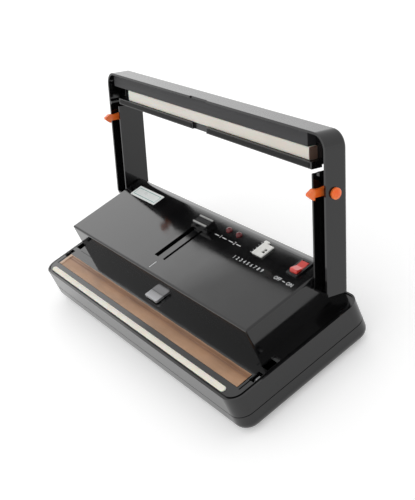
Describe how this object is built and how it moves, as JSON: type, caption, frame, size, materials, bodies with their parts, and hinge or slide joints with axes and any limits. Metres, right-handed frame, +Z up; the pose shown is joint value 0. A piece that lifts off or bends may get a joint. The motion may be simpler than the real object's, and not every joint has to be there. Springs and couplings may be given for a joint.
{
  "type": "vacuum sealer",
  "caption": "Table-top vacuum sealer with a hinged frame lid, heated sealing line, sliding suction nozzle, side latches and a control panel",
  "frame": {"origin": "on the ground below the middle of the open sealer's overall box", "axes": "X along the width, -Y to the front where the bag goes in, Z up"},
  "size_m": [0.388, 0.1878, 0.1907],
  "materials": {
    "black_shell": "glossy black moulded plastic",
    "black_knob": "glossy black plastic knob",
    "black_matt": "matt black plastic",
    "bar_plastic": "dark heat-resistant plastic",
    "glass_fibre": "woven glass tape",
    "nichrome": "drawn resistance band",
    "brass": "brass",
    "ptfe_cloth": "tan non-stick coated glass cloth",
    "cream_foam": "cream silicone foam",
    "cream_rubber": "cream silicone rubber",
    "black_rubber": "soft black rubber",
    "foot_rubber": "dark rubber",
    "zinc_screws": "zinc plated steel",
    "steel": "plain sheet and bar steel",
    "nozzle_steel": "bright polished metal",
    "clear_hose": "translucent silicone hose",
    "pump_plastic": "dark engineering plastic",
    "motor_steel": "drawn steel can",
    "core_iron": "varnished laminated iron",
    "coil_tape": "yellow insulating tape",
    "board_green": "green lacquered board",
    "component_black": "dark electronic parts",
    "red_lamp": "clear red lens",
    "red_plastic": "glossy red plastic",
    "white_plastic": "white plastic",
    "white_label": "plain white film",
    "nylon": "natural nylon",
    "orange_plastic": "orange plastic"
  },
  "bodies": {
    "base": {"lower_shell": "black_shell", "upper_shell": "black_shell", "housing_cover": "black_shell", "rubber_feet": "foot_rubber", "base_screws": "zinc_screws", "cover_screws": "zinc_screws", "cord_gland": "black_matt", "seal_bar": "bar_plastic", "insulating_strip": "glass_fibre", "heating_band": "nichrome", "band_terminals": "brass", "nonstick_cloth": "ptfe_cloth", "foam_strip": "cream_foam", "latch_catches": "steel", "catch_screws": "zinc_screws", "nozzle_guide": "black_matt", "suction_pipe": "steel", "vacuum_hose": "clear_hose", "pump_head": "pump_plastic", "pump_motor": "motor_steel", "transformer_core": "core_iron", "transformer_coil": "coil_tape", "control_board": "board_green", "board_components": "component_black", "indicator_lamps": "red_lamp", "time_selector": "black_matt", "switch_housing": "black_matt", "blank_label": "white_label", "lid_switches": "black_matt", "hinge_bushes": "nylon"},
    "lid": {"lid_shell": "black_shell", "rubber_holder": "black_shell", "seal_rubber": "cream_rubber", "press_bar": "black_rubber", "vacuum_gaskets": "black_rubber", "lid_screws": "zinc_screws", "hinge_pins": "steel"},
    "nozzle_slider": {"suction_nozzle": "nozzle_steel", "nozzle_carriage": "black_matt", "slider_knob": "black_knob"},
    "timer_slider": {"timer_knob": "white_plastic"},
    "power_rocker": {"switch_rocker": "red_plastic"},
    "left_lever": {"left_switch_lever": "steel"},
    "right_lever": {"right_switch_lever": "steel"},
    "left_latch": {"left_latch_hook": "orange_plastic", "left_latch_knob": "orange_plastic"},
    "right_latch": {"right_latch_hook": "orange_plastic", "right_latch_knob": "orange_plastic"}
  },
  "joints": [
    {"name": "lid_hinge", "type": "hinge", "parent": "base", "child": "lid", "pos_m": [0, 0.04019, 0.0597], "axis": [1, 0, 0], "range_deg": [0, 112.6]},
    {"name": "left_latch_turn", "type": "hinge", "parent": "lid", "child": "left_latch", "pos_m": [-0.181, 0.0642, 0.1421], "axis": [1, 0, 0], "range_deg": [0, 12]},
    {"name": "right_latch_turn", "type": "hinge", "parent": "lid", "child": "right_latch", "pos_m": [0.181, 0.0642, 0.1421], "axis": [1, 0, 0], "range_deg": [0, 12]},
    {"name": "nozzle_slide", "type": "slide", "parent": "base", "child": "nozzle_slider", "axis": [0, -1, 0], "range_m": [0, 0.035]},
    {"name": "timer_slide", "type": "slide", "parent": "base", "child": "timer_slider", "axis": [0, -1, 0], "range_m": [0, 0.008]},
    {"name": "power_rocker_hinge", "type": "hinge", "parent": "base", "child": "power_rocker", "pos_m": [0.1475, 0.03009, 0.072], "axis": [1, 0, 0], "range_deg": [0, 18]},
    {"name": "left_lever_hinge", "type": "hinge", "parent": "base", "child": "left_lever", "pos_m": [-0.1829, -0.07041, 0.0314], "axis": [-1, 0, 0], "range_deg": [0, 8], "stiffness_Nm_per_rad": 0.01, "springref_deg": -5.73},
    {"name": "right_lever_hinge", "type": "hinge", "parent": "base", "child": "right_lever", "pos_m": [0.1829, -0.07041, 0.0314], "axis": [-1, 0, 0], "range_deg": [0, 8], "stiffness_Nm_per_rad": 0.01, "springref_deg": -5.73}
  ]
}
